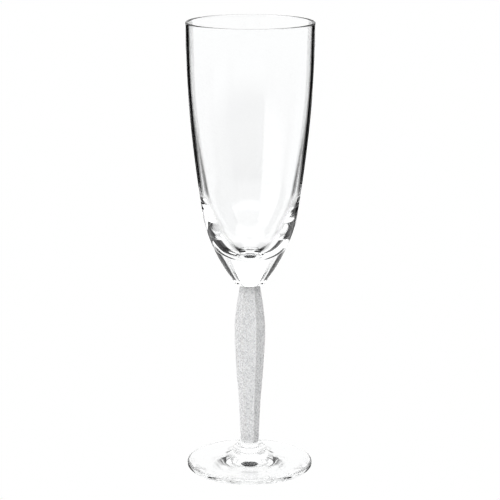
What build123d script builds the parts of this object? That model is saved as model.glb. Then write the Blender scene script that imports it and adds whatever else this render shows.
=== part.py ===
from build123d import *
import os

# Champagne flute in clear crystal: a tall blown bowl with a heavy base, a small collar under it,
# a six-sided pressed stem, a clear button and a round foot. The five gathers of glass meet face
# to face, one on top of the other, where the glassmaker fuses them.
#
# Millimetres, +Z up. The origin is the middle of the foot, on the surface the glass stands on.
# A flat side of the stem faces -Y.

# Heights of the joins, from the table upwards
HEIGHT = 240.0
BUTTON_BOTTOM = 8.8
STEM_BOTTOM = 13.4
STEM_TOP = 100.4
BOWL_BOTTOM = 104.2

# Foot
FOOT_RADIUS = 33.5
FOOT_EDGE = 3.2
FOOT_EDGE_ROUND = 1.1
FOOT_FLARE_START = (9.6, 6.2)
FOOT_FLARE_END = (18.5, 4.2)
REST_INNER_RADIUS = 26.5
HOLLOW_DEPTH = 1.4

# Button between the foot and the stem: a large bead with a small one on it.
# The pairs are (radius, height) of the points that draw each bead out.
BUTTON_RADIUS = 8.4
LARGE_BEAD_SIDE = (9.7, 9.0)
LARGE_BEAD_SHOULDER = (9.2, 11.0)
BUTTON_STEP = (6.6, 11.0)
SMALL_BEAD_SIDE = (7.8, 11.4)
SMALL_BEAD_SHOULDER = (7.2, 13.1)
BUTTON_NECK_RADIUS = 4.6

# Stem: radius over the six edges at each height above the table
STEM_SECTIONS = (
    (STEM_BOTTOM, 4.8),
    (36.0, 5.8),
    (56.0, 7.35),
    (76.0, 8.2),
    (89.0, 7.1),
    (STEM_TOP, 5.2),
)
STEM_SIDES = 6

# Collar between the stem and the bowl
COLLAR_RADIUS = 9.6
COLLAR_NECK_RADIUS = 5.1
COLLAR_UNDERSIDE = (8.1, 100.7)
COLLAR_SIDE = (9.3, 102.6)

# Bowl, outside: the wall curves from the rim to a waist and from there into the base.
# A slope is a direction (across, up); a pull is how far the curve follows its direction.
RIM_RADIUS = 33.6
RIM_WALL = 1.5
RIM_ROUND = 0.6
RIM_SLOPE = (0.071, 0.997)
RIM_PULL = 9.6
WAIST_RADIUS = 24.6
WAIST_HEIGHT = 136.7
WAIST_SLOPE = (0.156, 0.988)
WALL_PULL = 66.8
WAIST_PULL = 5.8
BASE_SLOPE = (0.618, 0.786)
BASE_PULL = 14.0

# Bowl, inside: a round end, then the wall up to the rim
CAVITY_BOTTOM = 117.6
CAVITY_END_RADIUS = 17.0
CAVITY_END_ANGLE = 47
CAVITY_END_PULL = 7.0
CAVITY_WAIST_RADIUS = 24.5
CAVITY_WAIST_HEIGHT = 152.8
CAVITY_WAIST_SLOPE = (0.166, 0.986)
CAVITY_WALL_PULL = 38.0
CAVITY_WAIST_PULL = 14.6
CAVITY_RIM_PULL = 36.5
CAVITY_RIM_SLOPE = (0.014, 1)

os.makedirs("parts", exist_ok=True)

# Foot: a disc with a rounded edge that rises to the button. The underside is ground to a flat ring and hollow inside it.
with BuildPart() as foot:
    with BuildSketch(Plane.XZ):
        with BuildLine():
            Line((0, HOLLOW_DEPTH), (0, BUTTON_BOTTOM))
            Line((0, BUTTON_BOTTOM), (BUTTON_RADIUS, BUTTON_BOTTOM))
            Bezier(
                (BUTTON_RADIUS, BUTTON_BOTTOM),
                FOOT_FLARE_START,
                FOOT_FLARE_END,
                (FOOT_RADIUS - FOOT_EDGE_ROUND, FOOT_EDGE),
            )
            TangentArc(
                (FOOT_RADIUS - FOOT_EDGE_ROUND, FOOT_EDGE),
                (FOOT_RADIUS, FOOT_EDGE - FOOT_EDGE_ROUND),
                tangent=(1, 0),
            )
            Line((FOOT_RADIUS, FOOT_EDGE - FOOT_EDGE_ROUND), (FOOT_RADIUS, FOOT_EDGE_ROUND))
            TangentArc(
                (FOOT_RADIUS, FOOT_EDGE_ROUND),
                (FOOT_RADIUS - FOOT_EDGE_ROUND, 0),
                tangent=(0, -1),
            )
            Line((FOOT_RADIUS - FOOT_EDGE_ROUND, 0), (REST_INNER_RADIUS, 0))
            TangentArc((0, HOLLOW_DEPTH), (REST_INNER_RADIUS, 0), tangent=(1, 0))
        make_face()
    revolve(axis=Axis.Z)

# Button: two beads of glass, one on the other, that the stem stands on.
with BuildPart() as button:
    with BuildSketch(Plane.XZ):
        with BuildLine():
            Line((0, BUTTON_BOTTOM), (BUTTON_RADIUS, BUTTON_BOTTOM))
            Bezier(
                (BUTTON_RADIUS, BUTTON_BOTTOM),
                LARGE_BEAD_SIDE,
                LARGE_BEAD_SHOULDER,
                BUTTON_STEP,
            )
            Bezier(
                BUTTON_STEP,
                SMALL_BEAD_SIDE,
                SMALL_BEAD_SHOULDER,
                (BUTTON_NECK_RADIUS, STEM_BOTTOM),
            )
            Line((BUTTON_NECK_RADIUS, STEM_BOTTOM), (0, STEM_BOTTOM))
            Line((0, STEM_BOTTOM), (0, BUTTON_BOTTOM))
        make_face()
    revolve(axis=Axis.Z)

# Stem: six-sided all the way, slim at both ends and fullest above the middle.
with BuildPart() as stem:
    for height, radius in STEM_SECTIONS:
        with BuildSketch(Plane.XY.offset(height)):
            RegularPolygon(radius, STEM_SIDES)
    loft()

# Collar: a short band under the bowl that rounds in to the top of the stem.
with BuildPart() as collar:
    with BuildSketch(Plane.XZ):
        with BuildLine():
            Line((0, STEM_TOP), (COLLAR_NECK_RADIUS, STEM_TOP))
            Bezier(
                (COLLAR_NECK_RADIUS, STEM_TOP),
                COLLAR_UNDERSIDE,
                COLLAR_SIDE,
                (COLLAR_RADIUS, BOWL_BOTTOM),
            )
            Line((COLLAR_RADIUS, BOWL_BOTTOM), (0, BOWL_BOTTOM))
            Line((0, BOWL_BOTTOM), (0, STEM_TOP))
        make_face()
    revolve(axis=Axis.Z)

# Bowl: thin at the rim, thickening to a solid base that holds the rounded end of the cavity.
base = Vector(COLLAR_RADIUS, BOWL_BOTTOM)
base_slope = Vector(*BASE_SLOPE)
waist = Vector(WAIST_RADIUS, WAIST_HEIGHT)
waist_slope = Vector(*WAIST_SLOPE)
rim = Vector(RIM_RADIUS, HEIGHT)
rim_slope = Vector(*RIM_SLOPE)
cavity_waist = Vector(CAVITY_WAIST_RADIUS, CAVITY_WAIST_HEIGHT)
cavity_waist_slope = Vector(*CAVITY_WAIST_SLOPE)
cavity_rim = Vector(RIM_RADIUS - RIM_WALL, HEIGHT)
cavity_rim_slope = Vector(*CAVITY_RIM_SLOPE)
with BuildPart() as bowl:
    with BuildSketch(Plane.XZ) as bowl_section:
        with BuildLine():
            Line((0, BOWL_BOTTOM), base)
            Bezier(
                base,
                base + base_slope * BASE_PULL,
                waist - waist_slope * WAIST_PULL,
                waist,
            )
            Bezier(
                waist,
                waist + waist_slope * WALL_PULL,
                rim - rim_slope * RIM_PULL,
                rim,
            )
            Line(rim, cavity_rim)
            cavity_end = CenterArc(
                (0, CAVITY_BOTTOM + CAVITY_END_RADIUS),
                CAVITY_END_RADIUS,
                -90,
                CAVITY_END_ANGLE,
            )
            Bezier(
                cavity_end @ 1,
                cavity_end @ 1 + (cavity_end % 1) * CAVITY_END_PULL,
                cavity_waist - cavity_waist_slope * CAVITY_WAIST_PULL,
                cavity_waist,
            )
            Bezier(
                cavity_waist,
                cavity_waist + cavity_waist_slope * CAVITY_WALL_PULL,
                cavity_rim - cavity_rim_slope * CAVITY_RIM_PULL,
                cavity_rim,
            )
            Line((0, CAVITY_BOTTOM), (0, BOWL_BOTTOM))
        make_face()
        fillet(bowl_section.vertices().group_by(Axis.Y)[-1], RIM_ROUND)
    revolve(axis=Axis.Z)

foot.part.label = "foot"
button.part.label = "foot_button"
stem.part.label = "stem"
collar.part.label = "collar"
bowl.part.label = "bowl"

export_step(foot.part, "parts/foot.step")
export_step(button.part, "parts/foot_button.step")
export_step(stem.part, "parts/stem.step")
export_step(collar.part, "parts/collar.step")
export_step(bowl.part, "parts/bowl.step")
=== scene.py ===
# Looks for the champagne flute: five pieces of crystal turned and pressed to the same outlines as
# the design, a pale floor, a bright studio around the glass and the camera.
import bpy
import bmesh
import math
from mathutils import Matrix, Vector, noise
from mathutils.geometry import interpolate_bezier


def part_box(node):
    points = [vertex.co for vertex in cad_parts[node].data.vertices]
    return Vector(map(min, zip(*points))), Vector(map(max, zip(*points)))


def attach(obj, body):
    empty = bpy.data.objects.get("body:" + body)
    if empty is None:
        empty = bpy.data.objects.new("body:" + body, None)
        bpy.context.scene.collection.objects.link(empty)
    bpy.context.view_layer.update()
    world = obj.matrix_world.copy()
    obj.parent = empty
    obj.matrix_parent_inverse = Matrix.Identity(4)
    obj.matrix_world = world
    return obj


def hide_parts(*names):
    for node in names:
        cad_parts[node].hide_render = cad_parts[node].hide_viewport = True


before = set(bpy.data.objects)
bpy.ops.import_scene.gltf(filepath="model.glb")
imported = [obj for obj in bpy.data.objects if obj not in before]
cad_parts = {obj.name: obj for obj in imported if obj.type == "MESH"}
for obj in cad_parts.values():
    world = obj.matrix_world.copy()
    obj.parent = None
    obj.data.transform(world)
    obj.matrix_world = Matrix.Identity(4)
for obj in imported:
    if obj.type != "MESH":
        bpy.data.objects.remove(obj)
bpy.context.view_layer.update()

MM = 0.001
TURNS = 180

# ---------------------------------------------------------------- outlines, in millimetres

# Heights of the joins, read from the frame
FOOT_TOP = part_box("foot")[1].z / MM
STEM_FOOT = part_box("stem")[0].z / MM
STEM_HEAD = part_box("stem")[1].z / MM
BOWL_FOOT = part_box("bowl")[0].z / MM
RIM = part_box("bowl")[1].z / MM

FOOT_RADIUS = 33.5
FOOT_EDGE = 3.2
FOOT_EDGE_ROUND = 1.1
REST_INNER = 26.5
HOLLOW = 1.4
BUTTON_RADIUS = 8.4
BUTTON_NECK = 4.6
STEM_FLAT_FOOT = 4.1
STEM_FLAT_HEAD = 4.45
COLLAR_RADIUS = 9.6
COLLAR_NECK = 5.1
RIM_RADIUS = 33.6
RIM_WALL = 1.5
RIM_ROUND = 0.6
CAVITY_BOTTOM = 117.6
CAVITY_END_RADIUS = 17.0
CAVITY_END_ANGLE = 47

# The bowl's curves: a lean is a direction (across, up), a pull is how far a curve follows it
WAIST = (24.6, 136.7)
WAIST_LEAN = (0.156, 0.988)
WAIST_PULL = 5.8
WALL_PULL = 66.8
BASE_LEAN = (0.618, 0.786)
BASE_PULL = 14.0
RIM_LEAN = (0.071, 0.997)
RIM_PULL = 9.6
RIM_SET_IN = 0.04
CAVITY_WAIST = (24.5, 152.8)
CAVITY_WAIST_LEAN = (0.166, 0.986)
CAVITY_WAIST_PULL = 14.6
CAVITY_WALL_PULL = 38.0
CAVITY_RIM_LEAN = (0.014, 1)
CAVITY_RIM_PULL = 36.5
CAVITY_END_PULL = 7.0

# Stem: radius over the six edges at each height
STEM_SECTIONS = (
    (STEM_FOOT, 4.8),
    (36.0, 5.8),
    (56.0, 7.35),
    (76.0, 8.2),
    (89.0, 7.1),
    (STEM_HEAD, 5.2),
)


def at(across, up):
    """A point of an outline: how far from the axis and how high."""
    return Vector((across, up, 0.0))


def curve(start, pull_start, pull_end, end, count):
    """Points along a drawn-out curve, without its first."""
    return interpolate_bezier(start, pull_start, pull_end, end, count)[1:]


def arc(middle, radius, first, last, count):
    """Points along a round, without its first; the angles are in degrees from straight out."""
    made = []
    for step in range(1, count + 1):
        angle = math.radians(first + (last - first) * step / count)
        made.append(middle + radius * at(math.cos(angle), math.sin(angle)))
    return made


def bowl_outline():
    """From the middle of the base round the outside, over the rim and down the cavity."""
    base = at(COLLAR_RADIUS, BOWL_FOOT)
    waist = at(*WAIST)
    lean = at(*WAIST_LEAN)
    rim_out = at(RIM_RADIUS, RIM)
    rim_in = at(RIM_RADIUS - RIM_WALL, RIM)
    points = [at(0, BOWL_FOOT), base]
    base_end = base + BASE_PULL * at(*BASE_LEAN)
    points += curve(base, base_end, waist - WAIST_PULL * lean, waist, 36)
    rim_start = rim_out - RIM_PULL * at(*RIM_LEAN)
    points += curve(waist, waist + WALL_PULL * lean, rim_start, rim_out, 60)
    while points[-1].y > RIM - RIM_ROUND:
        points.pop()
    points += [at(RIM_RADIUS - RIM_SET_IN, RIM - RIM_ROUND)]
    points += arc(at(RIM_RADIUS - RIM_SET_IN - RIM_ROUND, RIM - RIM_ROUND), RIM_ROUND, 0, 90, 6)
    points += [at(RIM_RADIUS - RIM_WALL + RIM_ROUND, RIM)]
    points += arc(at(RIM_RADIUS - RIM_WALL + RIM_ROUND, RIM - RIM_ROUND), RIM_ROUND, 90, 180, 6)
    end_middle = at(0, CAVITY_BOTTOM + CAVITY_END_RADIUS)
    end_top = arc(end_middle, CAVITY_END_RADIUS, -90, -90 + CAVITY_END_ANGLE, 1)[-1]
    turn = math.radians(CAVITY_END_ANGLE)
    away = at(math.cos(turn), math.sin(turn))
    narrow = at(*CAVITY_WAIST)
    narrow_lean = at(*CAVITY_WAIST_LEAN)
    inside = [rim_in]
    inside += curve(
        rim_in,
        rim_in - CAVITY_RIM_PULL * at(*CAVITY_RIM_LEAN),
        narrow + CAVITY_WALL_PULL * narrow_lean,
        narrow,
        60,
    )
    inside += curve(
        narrow,
        narrow - CAVITY_WAIST_PULL * narrow_lean,
        end_top + CAVITY_END_PULL * away,
        end_top,
        30,
    )
    inside += arc(end_middle, CAVITY_END_RADIUS, -90 + CAVITY_END_ANGLE, -90, 18)
    points += [p for p in inside if p.y < RIM - RIM_ROUND - 0.05]
    return points


def collar_outline():
    """Rounds out from the top of the stem to the base of the bowl."""
    neck = at(COLLAR_NECK, STEM_HEAD)
    points = [at(0, STEM_HEAD), at(STEM_FLAT_HEAD, STEM_HEAD), neck]
    points += curve(neck, at(8.1, 100.7), at(9.3, 102.6), at(COLLAR_RADIUS, BOWL_FOOT), 20)
    points += [at(0, BOWL_FOOT)]
    return points


def button_outline():
    """Two beads, a large one on the foot and a small one under the stem."""
    side = at(BUTTON_RADIUS, FOOT_TOP)
    step = at(6.6, 11.0)
    points = [at(0, FOOT_TOP), side]
    points += curve(side, at(9.7, 9.0), at(9.2, 11.0), step, 24)
    points += curve(step, at(7.8, 11.4), at(7.2, 13.1), at(BUTTON_NECK, STEM_FOOT), 18)
    points += [at(STEM_FLAT_FOOT, STEM_FOOT), at(0, STEM_FOOT)]
    return points


def foot_outline():
    """Down the flare to the rounded edge, then the ground ring and the hollow inside it."""
    edge = FOOT_RADIUS - FOOT_EDGE_ROUND
    dome = (REST_INNER**2 + HOLLOW**2) / (2 * HOLLOW)
    spread = math.degrees(math.asin(REST_INNER / dome))
    points = [at(0, FOOT_TOP), at(BUTTON_RADIUS, FOOT_TOP)]
    points += curve(points[-1], at(9.6, 6.2), at(18.5, 4.2), at(edge, FOOT_EDGE), 48)
    points += arc(at(edge, FOOT_EDGE - FOOT_EDGE_ROUND), FOOT_EDGE_ROUND, 90, 0, 8)
    points += [at(FOOT_RADIUS, FOOT_EDGE_ROUND)]
    points += arc(at(edge, FOOT_EDGE_ROUND), FOOT_EDGE_ROUND, 0, -90, 8)
    points += [at(REST_INNER, 0)]
    points += arc(at(0, HOLLOW - dome), dome, 90 - spread, 90, 24)
    return points


# ---------------------------------------------------------------- pieces of glass

SHARP_ANGLE = 32
WHOLE_FACE = 20

def finish_piece(bm, name, finish, joined):
    """Makes the piece from its mesh. joined holds the (height, radius) of each fused face."""
    bmesh.ops.remove_doubles(bm, verts=bm.verts, dist=1e-6)
    bmesh.ops.recalc_face_normals(bm, faces=bm.faces)
    for face in bm.faces:
        face.smooth = True
        middle = face.calc_center_median()
        flat = abs(face.normal.z) > 0.99
        for height, radius in joined:
            level = max(abs(v.co.z / MM - height) for v in face.verts) < 1e-3
            if flat and level and middle.xy.length / MM < radius:
                face.material_index = 1
                face.smooth = False
    mesh = bpy.data.meshes.new(name)
    bm.to_mesh(mesh)
    bm.free()
    mesh.set_sharp_from_angle(angle=math.radians(SHARP_ANGLE))
    mesh.materials.append(finish)
    if joined:
        mesh.materials.append(fused_join)
    piece = bpy.data.objects.new(name, mesh)
    bpy.context.scene.collection.objects.link(piece)
    return piece


def turned(name, outline, finish, joined):
    """Glass spun about the axis from its outline, which starts and ends on the axis."""
    bm = bmesh.new()
    rail = [bm.verts.new((p.x * MM, 0, p.y * MM)) for p in outline]
    edges = [bm.edges.new(pair) for pair in zip(rail, rail[1:])]
    bmesh.ops.spin(
        bm,
        geom=rail + edges,
        cent=(0, 0, 0),
        axis=(0, 0, 1),
        angle=math.tau,
        steps=TURNS,
        use_merge=True,
    )
    return finish_piece(bm, name, finish, joined)


def stem_radius(height):
    """Radius over the six edges, through the sections."""
    heights = [s[0] for s in STEM_SECTIONS]
    radii = [s[1] for s in STEM_SECTIONS]
    k = max(i for i in range(len(heights) - 1) if heights[i] <= height + 1e-9)

    def slope(i):
        low, high = max(i - 1, 0), min(i + 1, len(heights) - 1)
        return (radii[high] - radii[low]) / (heights[high] - heights[low])

    span = heights[k + 1] - heights[k]
    t = (height - heights[k]) / span
    start, end = radii[k], radii[k + 1]
    return (
        (2 * t**3 - 3 * t**2 + 1) * start
        + (t**3 - 2 * t**2 + t) * span * slope(k)
        + (3 * t**2 - 2 * t**3) * end
        + (t**3 - t**2) * span * slope(k + 1)
    )


PRESS_DEPTH = 0.08


def stipple(across, up, side):
    """The pressed pattern of short wandering strokes: 0 between them, 1 where one is deepest."""
    place = Vector((across / 0.8, up / 1.0, side * 7.3))
    wander = noise.noise(place * 0.55) * 1.3
    line = abs(noise.noise(place + Vector((wander, -wander, 0))))
    stroke = max(0.0, 1.0 - line / 0.26)
    broken = max(0.0, min(1.0, 0.8 + 2.6 * noise.noise(place * 0.7 + Vector((9, 4, 2)))))
    return stroke * stroke * (3 - 2 * stroke) * broken


def pressed_stem(name, finish):
    """The six-sided stem: one ring drawn upwards, then the pattern pressed into its flats."""
    columns = 38
    rows = 420
    bm = bmesh.new()
    pressed = bm.verts.layers.float.new("pressed")
    bmesh.ops.create_circle(bm, segments=6, radius=STEM_SECTIONS[0][1] * MM)
    # The circle starts on the Y axis; a twelfth of a turn puts edges on the X axis
    bmesh.ops.transform(
        bm,
        matrix=Matrix.Translation((0, 0, STEM_FOOT * MM)) @ Matrix.Rotation(math.pi / 6, 4, "Z"),
        verts=bm.verts,
    )
    bmesh.ops.subdivide_edges(bm, edges=bm.edges, cuts=columns - 1)
    edges = list(bm.edges)
    radius = STEM_SECTIONS[0][1]
    rings = []
    for row in range(1, rows + 1):
        height = STEM_FOOT + (STEM_HEAD - STEM_FOOT) * row / rows
        made = bmesh.ops.extrude_edge_only(bm, edges=edges)["geom"]
        ring = [g for g in made if isinstance(g, bmesh.types.BMVert)]
        edges = [g for g in made if isinstance(g, bmesh.types.BMEdge)]
        wider = stem_radius(height) / radius
        radius *= wider
        for v in ring:
            v.co.x *= wider
            v.co.y *= wider
            v.co.z = height * MM
        rings.append((height, radius, ring))
    for height, radius, ring in rings[:-1]:
        flat = radius * math.cos(math.radians(30))
        ends = min(1.0, (height - STEM_FOOT) / 2.0, (STEM_HEAD - height) / 2.0)
        for v in ring:
            angle = math.atan2(v.co.y, v.co.x)
            side = math.floor(angle / math.radians(60))
            facing = math.radians(60 * side + 30)
            out = Vector((math.cos(facing), math.sin(facing), 0))
            across = (v.co.x * -out.y + v.co.y * out.x) / MM
            to_edge = radius / 2 - abs(across)
            fade = max(0.0, min(1.0, (to_edge - 0.25) / 0.35)) * ends
            v[pressed] = stipple(across, height, side % 6) * fade
            v.co -= out * (PRESS_DEPTH * v[pressed] * MM)
    bmesh.ops.holes_fill(bm, edges=[e for e in bm.edges if e.is_boundary])
    return finish_piece(bm, name, finish, [(STEM_FOOT, WHOLE_FACE), (STEM_HEAD, WHOLE_FACE)])


# ---------------------------------------------------------------- finishes

CRYSTAL_IOR = 1.54
CLEAR = (0.995, 0.997, 0.998)
THIN_RIPPLE = 0.10
THICK_RIPPLE = 0.15
HAZE = 0.012

def new_material(name):
    """An empty material and its node tree."""
    made = bpy.data.materials.new(name)
    made.use_nodes = True
    made.node_tree.nodes.clear()
    return made, made.node_tree


def crystal(name, tint, ripple, haze):
    """Clear fire-polished crystal: slow ripples from the blowing and a trace of uneven polish."""
    made, tree = new_material(name)
    out = tree.nodes.new("ShaderNodeOutputMaterial")
    glass = tree.nodes.new("ShaderNodeBsdfPrincipled")
    glass.inputs["Base Color"].default_value = (*tint, 1)
    glass.inputs["Transmission Weight"].default_value = 1.0
    glass.inputs["IOR"].default_value = CRYSTAL_IOR
    where = tree.nodes.new("ShaderNodeTexCoord")
    stretch = tree.nodes.new("ShaderNodeMapping")
    stretch.inputs["Scale"].default_value = (1, 1, 0.35)
    slow = tree.nodes.new("ShaderNodeTexNoise")
    slow.inputs["Scale"].default_value = 55
    slow.inputs["Detail"].default_value = 1.0
    bump = tree.nodes.new("ShaderNodeBump")
    bump.inputs["Strength"].default_value = ripple
    bump.inputs["Distance"].default_value = 0.0004
    wiped = tree.nodes.new("ShaderNodeTexNoise")
    wiped.inputs["Scale"].default_value = 160
    wiped.inputs["Detail"].default_value = 4.0
    level = tree.nodes.new("ShaderNodeMapRange")
    level.inputs["From Min"].default_value = 0.45
    level.inputs["From Max"].default_value = 0.85
    level.inputs["To Min"].default_value = 0.0
    level.inputs["To Max"].default_value = haze
    tree.links.new(where.outputs["Object"], stretch.inputs["Vector"])
    tree.links.new(stretch.outputs["Vector"], slow.inputs["Vector"])
    tree.links.new(where.outputs["Object"], wiped.inputs["Vector"])
    tree.links.new(slow.outputs["Fac"], bump.inputs["Height"])
    tree.links.new(wiped.outputs["Fac"], level.inputs["Value"])
    tree.links.new(bump.outputs["Normal"], glass.inputs["Normal"])
    tree.links.new(level.outputs["Result"], glass.inputs["Roughness"])
    tree.links.new(glass.outputs["BSDF"], out.inputs["Surface"])
    return made


def frosted(name):
    """Pressed crystal whose surface is dulled by acid: more milky than clear, with painted shade
    darkening the pressed strokes.
    """
    made, tree = new_material(name)
    out = tree.nodes.new("ShaderNodeOutputMaterial")
    glass = tree.nodes.new("ShaderNodeBsdfPrincipled")
    glass.inputs["Transmission Weight"].default_value = 0.15
    glass.inputs["IOR"].default_value = CRYSTAL_IOR
    depth = tree.nodes.new("ShaderNodeAttribute")
    depth.attribute_name = "pressed"
    # Painted shade: the base colour goes from the pale lands to grey where the strokes are pressed
    # deepest, so the recesses read darker
    stroke_shade_mix = tree.nodes.new("ShaderNodeMix")
    stroke_shade_mix.data_type = "RGBA"
    stroke_shade_mix.inputs["A"].default_value = (0.99, 0.992, 0.994, 1)
    stroke_shade_mix.inputs["B"].default_value = (0.78, 0.79, 0.80, 1)
    tree.links.new(depth.outputs["Fac"], stroke_shade_mix.inputs["Factor"])
    tree.links.new(stroke_shade_mix.outputs["Result"], glass.inputs["Base Color"])
    where = tree.nodes.new("ShaderNodeTexCoord")
    grain = tree.nodes.new("ShaderNodeTexNoise")
    grain.inputs["Scale"].default_value = 900
    grain.inputs["Detail"].default_value = 3.0
    level = tree.nodes.new("ShaderNodeMapRange")
    level.inputs["From Min"].default_value = 0.3
    level.inputs["From Max"].default_value = 0.7
    level.inputs["To Min"].default_value = 0.22
    level.inputs["To Max"].default_value = 0.34
    bump = tree.nodes.new("ShaderNodeBump")
    bump.inputs["Strength"].default_value = 0.35
    bump.inputs["Distance"].default_value = 0.0001
    tree.links.new(where.outputs["Object"], grain.inputs["Vector"])
    tree.links.new(grain.outputs["Fac"], level.inputs["Value"])
    tree.links.new(grain.outputs["Fac"], bump.inputs["Height"])
    tree.links.new(level.outputs["Result"], glass.inputs["Roughness"])
    tree.links.new(bump.outputs["Normal"], glass.inputs["Normal"])
    tree.links.new(glass.outputs["BSDF"], out.inputs["Surface"])
    return made


def see_through(name):
    """Where two gathers are fused there is no surface left, so light goes straight on."""
    made, tree = new_material(name)
    out = tree.nodes.new("ShaderNodeOutputMaterial")
    clear = tree.nodes.new("ShaderNodeBsdfTransparent")
    tree.links.new(clear.outputs["BSDF"], out.inputs["Surface"])
    return made


fused_join = see_through("fused_join")
bowl_glass = crystal("bowl_crystal", CLEAR, THIN_RIPPLE, HAZE)
collar_glass = crystal("collar_crystal", CLEAR, THIN_RIPPLE, HAZE)
button_glass = crystal("button_crystal", CLEAR, THICK_RIPPLE, HAZE)
foot_glass = crystal("foot_crystal", CLEAR, THICK_RIPPLE, HAZE)
stem_glass = frosted("frosted_crystal")

bowl = turned("bowl_glass", bowl_outline(), bowl_glass, [(BOWL_FOOT, WHOLE_FACE)])
collar = turned(
    "collar_glass",
    collar_outline(),
    collar_glass,
    [(STEM_HEAD, STEM_FLAT_HEAD), (BOWL_FOOT, WHOLE_FACE)],
)
stem = pressed_stem("stem_glass", stem_glass)
button = turned(
    "foot_button_glass",
    button_outline(),
    button_glass,
    [(STEM_FOOT, STEM_FLAT_FOOT), (FOOT_TOP, WHOLE_FACE)],
)
foot = turned("foot_glass", foot_outline(), foot_glass, [(FOOT_TOP, WHOLE_FACE)])

for piece, node, slot in (
    (bowl, "bowl", "bowl_crystal"),
    (collar, "collar", "collar_crystal"),
    (stem, "stem", "frosted_crystal"),
    (button, "foot_button", "button_crystal"),
    (foot, "foot", "foot_crystal"),
):
    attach(piece, "root")
    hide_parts(node)

# ---------------------------------------------------------------- studio

# Metres, degrees and, for the lens, millimetres
CAMERA_TURN = 6.1
CAMERA_AWAY = 1.0225
CAMERA_HEIGHT = 0.3604
CAMERA_DOWN = 13.27
CAMERA_ROLL = 0.1
CAMERA_LENS = 143.16
TABLE_RADIUS = 40
CONTRAST = 0.62


def pale_floor():
    """A lit white table top."""
    bm = bmesh.new()
    bmesh.ops.create_circle(bm, cap_ends=True, segments=64, radius=TABLE_RADIUS)
    mesh = bpy.data.meshes.new("floor")
    bm.to_mesh(mesh)
    bm.free()
    made, tree = new_material("lit_table")
    out = tree.nodes.new("ShaderNodeOutputMaterial")
    glow = tree.nodes.new("ShaderNodeEmission")
    glow.inputs["Color"].default_value = (1, 1, 1, 1)
    glow.inputs["Strength"].default_value = 1.0
    tree.links.new(glow.outputs["Emission"], out.inputs["Surface"])
    mesh.materials.append(made)
    floor = bpy.data.objects.new("floor", mesh)
    bpy.context.scene.collection.objects.link(floor)
    floor.visible_transmission = False
    floor.visible_glossy = False
    floor.visible_diffuse = False


# The studio round the glass. A stand is (left, right, bottom, top, brightness), in degrees from the
# line of sight and from the horizon. Later stands are in front of earlier ones.
ALL_ROUND = 200
STRAIGHT_DOWN = -110
STRAIGHT_UP = 110
SOFT_EDGE = 5
DARK_ROOM = 0.05
WHITE = 1.0
BRIGHT = 1.5
BLACK = 0.0
FLAG_NEAR = 14
FLAG_FAR = 38
FLAG_BOTTOM = -20
FLAG_TOP = -2
TABLE = (-ALL_ROUND, ALL_ROUND, STRAIGHT_DOWN, 0, WHITE)
BACKDROP = (-60, 60, 0, 40, WHITE)
CEILING = (-ALL_ROUND, ALL_ROUND, 40, STRAIGHT_UP, BRIGHT)
WINDOW = (-150, -90, 0, 40, BRIGHT)
LEFT_BOX = (-ALL_ROUND, -150, 20, 40, BRIGHT)
RIGHT_BOX = (120, ALL_ROUND, 20, 40, BRIGHT)
LEFT_FLAG = (-FLAG_FAR, -FLAG_NEAR, FLAG_BOTTOM, FLAG_TOP, BLACK)
RIGHT_FLAG = (FLAG_NEAR, FLAG_FAR, FLAG_BOTTOM, FLAG_TOP, BLACK)


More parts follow.
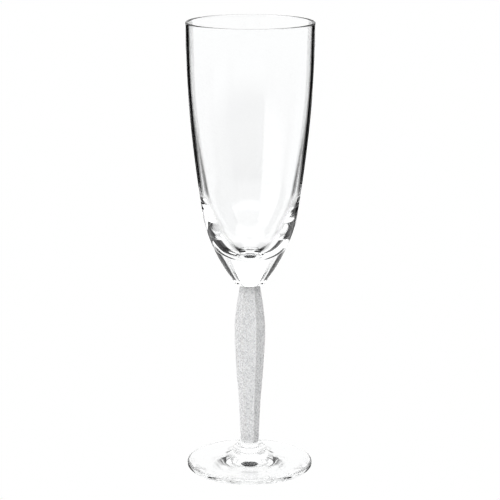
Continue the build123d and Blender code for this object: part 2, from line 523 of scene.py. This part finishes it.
def studio_light():
    """A white table, backdrop and ceiling, a window on the left, raised soft boxes towards
    the viewer and a black flag on each side of the backdrop. What the camera sees past the glass
    is plain white."""
    world = bpy.data.worlds.new("studio")
    bpy.context.scene.world = world
    world.use_nodes = True
    tree = world.node_tree
    tree.nodes.clear()
    where = tree.nodes.new("ShaderNodeTexCoord")
    face = tree.nodes.new("ShaderNodeVectorRotate")
    face.rotation_type = "Z_AXIS"
    face.inputs["Angle"].default_value = math.radians(-CAMERA_TURN)
    tree.links.new(where.outputs["Generated"], face.inputs["Vector"])
    split = tree.nodes.new("ShaderNodeSeparateXYZ")
    tree.links.new(face.outputs["Vector"], split.inputs["Vector"])

    def sum_of(kind, *values):
        node = tree.nodes.new("ShaderNodeMath")
        node.operation = kind
        for socket, value in zip(node.inputs, values):
            tree.links.new(value, socket)
        return node.outputs[0]

    around = sum_of("DEGREES", sum_of("ARCTAN2", split.outputs["X"], split.outputs["Y"]))
    above = sum_of("DEGREES", sum_of("ARCSINE", split.outputs["Z"]))

    def step_at(value, edge):
        node = tree.nodes.new("ShaderNodeMapRange")
        node.interpolation_type = "SMOOTHSTEP"
        tree.links.new(value, node.inputs["Value"])
        node.inputs["From Min"].default_value = edge - SOFT_EDGE / 2
        node.inputs["From Max"].default_value = edge + SOFT_EDGE / 2
        return node.outputs["Result"]

    level = None
    for left, right, bottom, top, brightness in (
        TABLE,
        BACKDROP,
        CEILING,
        WINDOW,
        LEFT_BOX,
        RIGHT_BOX,
        LEFT_FLAG,
        RIGHT_FLAG,
    ):
        wide = sum_of("SUBTRACT", step_at(around, left), step_at(around, right))
        tall = sum_of("SUBTRACT", step_at(above, bottom), step_at(above, top))
        blend = tree.nodes.new("ShaderNodeMix")
        blend.data_type = "FLOAT"
        tree.links.new(sum_of("MULTIPLY", wide, tall), blend.inputs["Factor"])
        blend.inputs["A"].default_value = DARK_ROOM
        blend.inputs["B"].default_value = brightness
        if level:
            tree.links.new(level, blend.inputs["A"])
        level = blend.outputs["Result"]
    round_about = tree.nodes.new("ShaderNodeBackground")
    tree.links.new(level, round_about.inputs["Strength"])
    plain = tree.nodes.new("ShaderNodeBackground")
    plain.inputs["Strength"].default_value = WHITE
    for light in (round_about, plain):
        light.inputs["Color"].default_value = (1, 1, 1, 1)
    seen = tree.nodes.new("ShaderNodeLightPath")
    choose = tree.nodes.new("ShaderNodeMixShader")
    out = tree.nodes.new("ShaderNodeOutputWorld")
    tree.links.new(seen.outputs["Is Camera Ray"], choose.inputs[0])
    tree.links.new(round_about.outputs["Background"], choose.inputs[1])
    tree.links.new(plain.outputs["Background"], choose.inputs[2])
    tree.links.new(choose.outputs["Shader"], out.inputs["Surface"])


def camera():
    """Looks down at the glass from a little to the right of its front."""
    turn = math.radians(CAMERA_TURN)
    view = bpy.data.cameras.new("camera")
    view.sensor_width = 36
    view.lens = CAMERA_LENS
    view.clip_start = 0.05
    view.clip_end = 200
    stand = bpy.data.objects.new("camera", view)
    bpy.context.scene.collection.objects.link(stand)
    place = (CAMERA_AWAY * math.sin(turn), -CAMERA_AWAY * math.cos(turn), CAMERA_HEIGHT)
    stand.matrix_world = (
        Matrix.Translation(place)
        @ Matrix.Rotation(turn, 4, "Z")
        @ Matrix.Rotation(math.radians(90 - CAMERA_DOWN), 4, "X")
        @ Matrix.Rotation(math.radians(CAMERA_ROLL), 4, "Z")
    )
    bpy.context.scene.camera = stand


pale_floor()
studio_light()
camera()
scene = bpy.context.scene
scene.view_settings.view_transform = "Standard"
scene.view_settings.gamma = CONTRAST
# Light turns many times inside thick glass before it gets out
scene.cycles.max_bounces = 40
scene.cycles.glossy_bounces = 32
scene.cycles.transmission_bounces = 32
scene.cycles.transparent_max_bounces = 24
